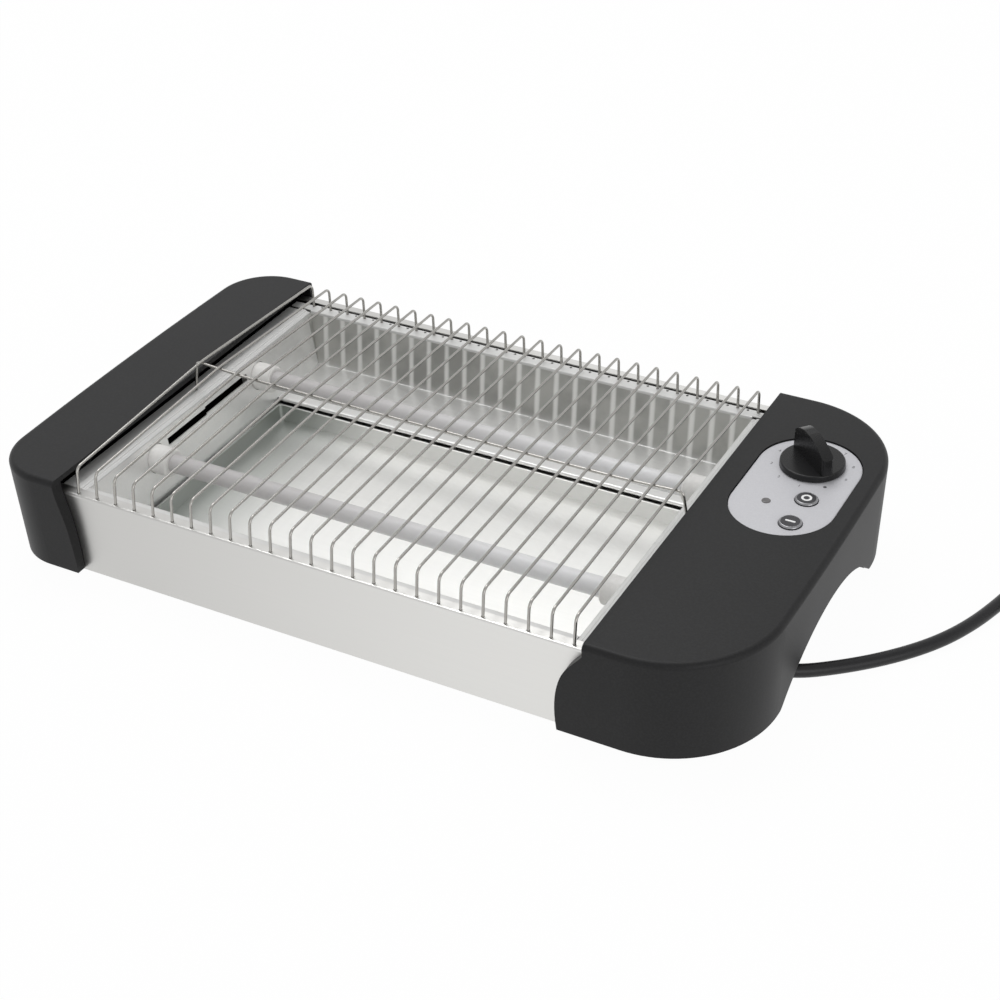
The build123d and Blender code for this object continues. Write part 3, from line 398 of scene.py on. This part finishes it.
def makeLead(facts):
    turns = facts["turnsIn"] + facts["turnsClimb"] + facts["turnsOut"]
    steps = round(turns * facts["pointsPerTurn"])
    coil = [coilPoint(facts, turns * n / steps) for n in range(1, steps + 1)]
    bend, tail, direction = plugTail(facts)
    inside = tuple(t + facts["intoPlug"] * d for t, d in zip(tail, direction))
    points = facts["route"] + coil + [bend, tail, inside]
    curve = bpy.data.curves.new("mainsLead", "CURVE")
    curve.dimensions = "3D"
    spline = curve.splines.new("NURBS")
    spline.points.add(len(points) - 1)
    flat = [value for x, y, z in points for value in (x * mm, y * mm, z * mm, 1.0)]
    spline.points.foreach_set("co", flat)
    spline.order_u = 3
    spline.use_endpoint_u = True
    spline.resolution_u = 6
    curve.bevel_depth = facts["diameter"] / 2
    curve.bevel_resolution = 6
    curve.use_fill_caps = True
    curve.materials.append(cordRubber.material)
    lead = bpy.data.objects.new("mainsLead", curve)
    bpy.context.scene.collection.objects.link(lead)
    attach(lead, "housing")
    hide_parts("mains_lead", "cord_coil")
    return lead


def taperedRibs(facts, origin, direction):
    # raised rings that follow a sleeve's taper, each with its roots sunk into the sleeve
    crown, shoulder, root = facts["halfWidths"]
    points, faces = [], []
    for n in range(facts["count"]):
        along = facts["start"] + n * facts["step"]
        radius = facts["from"] + (facts["to"] - facts["from"]) * along / facts["length"] + facts["proud"]
        foot, edge = radius - facts["height"], radius - facts["chamfer"]
        profile = [(foot, -root), (edge, -shoulder), (radius, -crown),
                   (radius, crown), (edge, shoulder), (foot, root)]
        base = tuple((o + along * d) * mm for o, d in zip(origin, direction))
        bandPoints, bandFaces = turnedBands(np.array(profile) * mm, [base], direction, 40)
        faces.append(bandFaces + sum(len(p) for p in points))
        points.append(bandPoints)
    return np.concatenate(points), np.concatenate(faces)


plugRibFacts = {"count": 4, "start": 2.5, "step": 3.2, "from": 4.3, "to": 6.4, "length": 15.0,
                "proud": 0.35, "height": 0.8, "chamfer": 0.1, "halfWidths": (0.45, 0.75, 0.9)}
plugOrigin, plugDirection = plugTail(leadFacts)[1:]
plugRings = taperedRibs(plugRibFacts, plugOrigin, plugDirection)

lead = makeLead(leadFacts)
plugRibs = meshPiece("plugRibs", *plugRings, plugRubber.material, "housing", "plug_rubber")
print("mains lead")

reliefRibFacts = {"count": 5, "start": 3.3, "step": 3.6, "from": 5.5, "to": 4.2, "length": 21.5,
                  "proud": 0.35, "height": 0.8, "chamfer": 0.1, "halfWidths": (0.4, 0.65, 0.8)}
reliefOrigin = (158.7, *leadFacts["exit"][1:])
reliefRings = taperedRibs(reliefRibFacts, reliefOrigin, (1.0, 0.0, 0.0))
meshPiece("reliefRibs", *reliefRings, cordRubber.material, "housing", "cord_rubber")


# Heating spirals in the quartz tubes

spiralFacts = {"length": 262.0, "radius": 1.9, "wire": 0.28, "pitch": 2.4, "tubeY": (-52.5, 46.5), "tubeZ": 37.5,
               "pointsPerTurn": 12, "sides": 6}


def makeSpirals(facts):
    # centre line = axis + radius * (cos a, sin a), each ring of the wire lies across it
    turns = facts["length"] / facts["pitch"]
    count = int(turns * facts["pointsPerTurn"])
    angle = np.linspace(0, 2 * math.pi * turns, count)
    x = np.linspace(-facts["length"] / 2, facts["length"] / 2, count)
    outward = np.stack([np.zeros(count), np.cos(angle), np.sin(angle)], axis=1)
    along = np.array([1.0, 0.0, 0.0])
    around = np.linspace(0, 2 * math.pi, facts["sides"], endpoint=False)
    cover = np.cos(around)[None, :, None] * outward[:, None, :] + np.sin(around)[None, :, None] * along
    pieces, faces = [], []
    for tubeY in facts["tubeY"]:
        middle = np.stack([x, np.full(count, tubeY), np.full(count, facts["tubeZ"])], axis=1)
        line = middle + facts["radius"] * outward
        ringPoints = (line[:, None, :] + facts["wire"] * cover).reshape(-1, 3) * mm
        ringPoints[:, 0] += bedMiddle
        quads = gridFaces(count, facts["sides"])[: (count - 1) * facts["sides"]]
        faces.append(quads + len(ringPoints) * len(pieces))
        pieces.append(ringPoints)
    wires = np.concatenate(pieces), np.concatenate(faces)
    spirals = meshPiece("heatingSpirals", *wires, heaterWire.material, "housing", "heater_wire")
    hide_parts("heating_coils")


makeSpirals(spiralFacts)
print("heating spirals")


# Marks and trims of the controls

controlFacts = {
    "buttonX": 186.2, "ringY": 31.0, "barY": 8.5, "buttonTop": 61.1, "buttonRadius": 5.9,
    "knobX": 177.6, "knobY": 62.3, "plateFace": 59.7,
    "markRadius": 20.8, "offAngle": -52.0, "markStep": 36.0, "markSize": 2.9,
    "dotRadius": 0.9, "dotSides": 20, "markLift": 0.03,
    "ringInner": 1.55, "ringOuter": 2.75, "barHalf": 2.1, "barRound": 0.62, "symbolLow": 0.05, "symbolHigh": 0.04,
}


def makeButtonTrims(facts):
    top = facts["buttonTop"]
    edge = facts["buttonRadius"]
    low, high = top - facts["symbolLow"], top + facts["symbolHigh"]
    collar = [(edge + 0.03, top - 0.85), (edge + 0.04, top - 0.76), (edge - 0.74, top + 0.03),
              (edge - 1.05, top + 0.03), (edge - 1.05, top - 0.1), (edge - 0.3, top - 0.85)]
    for body, at in (("ring_button", facts["ringY"]), ("bar_button", facts["barY"])):
        base = (facts["buttonX"] * mm, at * mm, 0.0)
        points, faces = turnedBands(np.array(collar) * mm, [base], (0, 0, 1), 72)
        meshPiece(f"{body}Edge", points, faces, rimMetal.material, body, "button_plastic")
    inner, outer = facts["ringInner"], facts["ringOuter"]
    ring = [(inner, low), (inner, high), (outer, high), (outer, low)]
    base = (facts["buttonX"] * mm, facts["ringY"] * mm, 0.0)
    points, faces = turnedBands(np.array(ring) * mm, [base], (0, 0, 1), 48)
    meshPiece("ringSymbol", points, faces, symbolWhite.material, "ring_button", "button_plastic", smooth=False)
    # bar with round ends: a stadium outline, its top and bottom closed with one face each
    turn = np.linspace(-math.pi / 2, math.pi / 2, 12)
    right = np.stack([facts["barHalf"] + facts["barRound"] * np.cos(turn), facts["barRound"] * np.sin(turn)], axis=1)
    outline = np.concatenate([right, -right])
    count = len(outline)
    middle = np.array([[facts["buttonX"], facts["barY"]]])
    under = np.concatenate([outline + middle, np.full((count, 1), low)], axis=1)
    over = np.concatenate([outline + middle, np.full((count, 1), high)], axis=1)
    mesh = bpy.data.meshes.new("barSymbol")
    sides = [[n, (n + 1) % count, (n + 1) % count + count, n + count] for n in range(count)]
    caps = [list(range(count, 2 * count)), list(range(count - 1, -1, -1))]
    mesh.from_pydata((np.concatenate([under, over]) * mm).tolist(), [], sides + caps)
    mesh.materials.append(symbolWhite.material)
    symbol = bpy.data.objects.new("barSymbol", mesh)
    bpy.context.scene.collection.objects.link(symbol)
    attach(symbol, "bar_button")


def makeDialMarks(facts):
    # a dot at off, then the plain numbers 1 to 9 clockwise, flat on the plate
    points, faces = [], []
    start = 0
    for number in range(10):
        angle = math.radians(facts["offAngle"] - facts["markStep"] * number)
        x = facts["knobX"] + facts["markRadius"] * math.cos(angle)
        y = facts["knobY"] + facts["markRadius"] * math.sin(angle)
        if number == 0:
            turn = np.linspace(0, 2 * math.pi, facts["dotSides"], endpoint=False)
            size = facts["dotRadius"]
            flat = np.stack([x + size * np.cos(turn), y + size * np.sin(turn)], axis=1)
            faces.append(list(range(start, start + facts["dotSides"])))
        else:
            text = bpy.data.curves.new("mark", "FONT")
            text.body = str(number)
            text.size = facts["markSize"]
            text.align_x = "CENTER"
            text.align_y = "CENTER"
            holder = bpy.data.objects.new("mark", text)
            bpy.context.scene.collection.objects.link(holder)
            bpy.context.view_layer.update()
            shape = bpy.data.meshes.new_from_object(holder)
            flat = np.array([(v.co.x + x, v.co.y + y) for v in shape.vertices])
            faces += [[start + index for index in polygon.vertices] for polygon in shape.polygons]
            bpy.data.objects.remove(holder)
            bpy.data.meshes.remove(shape)
            bpy.data.curves.remove(text)
        height = np.full((len(flat), 1), facts["plateFace"] + facts["markLift"])
        points.append(np.concatenate([flat, height], axis=1))
        start += len(flat)
    mesh = bpy.data.meshes.new("dialMarks")
    mesh.from_pydata((np.concatenate(points) * mm).tolist(), [], faces)
    mesh.materials.append(markGrey.material)
    marks = bpy.data.objects.new("dialMarks", mesh)
    bpy.context.scene.collection.objects.link(marks)
    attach(marks, "housing")


makeButtonTrims(controlFacts)
makeDialMarks(controlFacts)
print("control marks")


# Studio

studioFacts = {
    "floorSize": 5.0,
    "floorWhite": 0.97,  # share of plain white that the camera sees in the floor
    "floorColor": (0.93, 0.93, 0.93),
    "worldLight": 0.56,
    "overhead": 0.74,  # strength of the sky that glossy faces mirror from above
    "dimFrom": 0.2,  # height of the mirrored direction where the sky begins to dim
    "dimTo": 0.6,
    "floorDrop": 0.0002,
    "lamps": (
        {"name": "keyLamp", "power": 13.0, "size": 1.1, "place": (-0.5, 0.5, 1.7), "aim": (0, 0, 0)},
        {"name": "sideLamp", "power": 3.5, "size": 0.8, "place": (1.3, -0.7, 0.5), "aim": (0.1, 0, 0.03)},
    ),
}


def makeFloor(facts):
    half = facts["floorSize"] / 2
    mesh = bpy.data.meshes.new("floor")
    corners = [(-half, -half, 0), (half, -half, 0), (half, half, 0), (-half, half, 0)]
    mesh.from_pydata(corners, [], [(0, 1, 2, 3)])
    material = bpy.data.materials.new("paleFloor")
    material.use_nodes = True
    tree = material.node_tree
    tree.nodes.clear()
    paint = tree.nodes.new("ShaderNodeBsdfDiffuse")
    paint.inputs["Color"].default_value = (*facts["floorColor"], 1)
    glow = tree.nodes.new("ShaderNodeEmission")
    glow.inputs["Color"].default_value = (1, 1, 1, 1)
    light = tree.nodes.new("ShaderNodeLightPath")
    seen = tree.nodes.new("ShaderNodeMath")
    seen.operation = "MAXIMUM"
    tree.links.new(light.outputs["Is Camera Ray"], seen.inputs[0])
    tree.links.new(light.outputs["Is Glossy Ray"], seen.inputs[1])
    share = tree.nodes.new("ShaderNodeMath")
    share.operation = "MULTIPLY"
    share.inputs[1].default_value = facts["floorWhite"]
    tree.links.new(seen.outputs[0], share.inputs[0])
    both = tree.nodes.new("ShaderNodeMixShader")
    tree.links.new(share.outputs[0], both.inputs[0])
    tree.links.new(paint.outputs[0], both.inputs[1])
    tree.links.new(glow.outputs[0], both.inputs[2])
    out = tree.nodes.new("ShaderNodeOutputMaterial")
    tree.links.new(both.outputs[0], out.inputs["Surface"])
    mesh.materials.append(material)
    floor = bpy.data.objects.new("floor", mesh)
    bpy.context.scene.collection.objects.link(floor)
    floor.location.z = -facts["floorDrop"]


def makeWorld(facts):
    world = bpy.data.worlds.new("studio")
    world.use_nodes = True
    tree = world.node_tree
    tree.nodes.clear()
    lighting = tree.nodes.new("ShaderNodeBackground")
    lighting.inputs["Color"].default_value = (1, 1, 1, 1)
    lighting.inputs["Strength"].default_value = facts["worldLight"]
    shown = tree.nodes.new("ShaderNodeBackground")
    shown.inputs["Color"].default_value = (1, 1, 1, 1)
    shown.inputs["Strength"].default_value = 1.0
    light = tree.nodes.new("ShaderNodeLightPath")
    first = tree.nodes.new("ShaderNodeMath")
    first.operation = "MAXIMUM"
    tree.links.new(light.outputs["Is Camera Ray"], first.inputs[0])
    tree.links.new(light.outputs["Is Glossy Ray"], first.inputs[1])
    seen = tree.nodes.new("ShaderNodeMath")
    seen.operation = "MAXIMUM"
    tree.links.new(first.outputs[0], seen.inputs[0])
    tree.links.new(light.outputs["Is Transmission Ray"], seen.inputs[1])
    # mirrored sky: white at the horizon, dimmer overhead
    overhead = tree.nodes.new("ShaderNodeBackground")
    overhead.inputs["Color"].default_value = (1, 1, 1, 1)
    overhead.inputs["Strength"].default_value = facts["overhead"]
    toward = tree.nodes.new("ShaderNodeTexCoord")
    parts = tree.nodes.new("ShaderNodeSeparateXYZ")
    tree.links.new(toward.outputs["Generated"], parts.inputs[0])
    height = tree.nodes.new("ShaderNodeMapRange")
    height.inputs["From Min"].default_value = facts["dimFrom"]
    height.inputs["From Max"].default_value = facts["dimTo"]
    tree.links.new(parts.outputs["Z"], height.inputs["Value"])
    mirrored = tree.nodes.new("ShaderNodeMath")
    mirrored.operation = "MULTIPLY"
    tree.links.new(height.outputs[0], mirrored.inputs[0])
    tree.links.new(light.outputs["Is Glossy Ray"], mirrored.inputs[1])
    sky = tree.nodes.new("ShaderNodeMixShader")
    tree.links.new(mirrored.outputs[0], sky.inputs[0])
    tree.links.new(shown.outputs[0], sky.inputs[1])
    tree.links.new(overhead.outputs[0], sky.inputs[2])
    both = tree.nodes.new("ShaderNodeMixShader")
    tree.links.new(seen.outputs[0], both.inputs[0])
    tree.links.new(lighting.outputs[0], both.inputs[1])
    tree.links.new(sky.outputs[0], both.inputs[2])
    out = tree.nodes.new("ShaderNodeOutputWorld")
    tree.links.new(both.outputs[0], out.inputs["Surface"])
    bpy.context.scene.world = world


def makeLamp(lampFacts):
    data = bpy.data.lights.new(lampFacts["name"], "AREA")
    data.energy = lampFacts["power"]
    data.size = lampFacts["size"]
    lamp = bpy.data.objects.new(lampFacts["name"], data)
    bpy.context.scene.collection.objects.link(lamp)
    lamp.location = lampFacts["place"]
    lamp.rotation_mode = "QUATERNION"
    toward = Vector(lampFacts["aim"]) - Vector(lampFacts["place"])
    lamp.rotation_quaternion = toward.to_track_quat("-Z", "Y")


makeFloor(studioFacts)
makeWorld(studioFacts)
for lampFacts in studioFacts["lamps"]:
    makeLamp(lampFacts)
bpy.context.scene.view_settings.view_transform = "Standard"
print("studio")
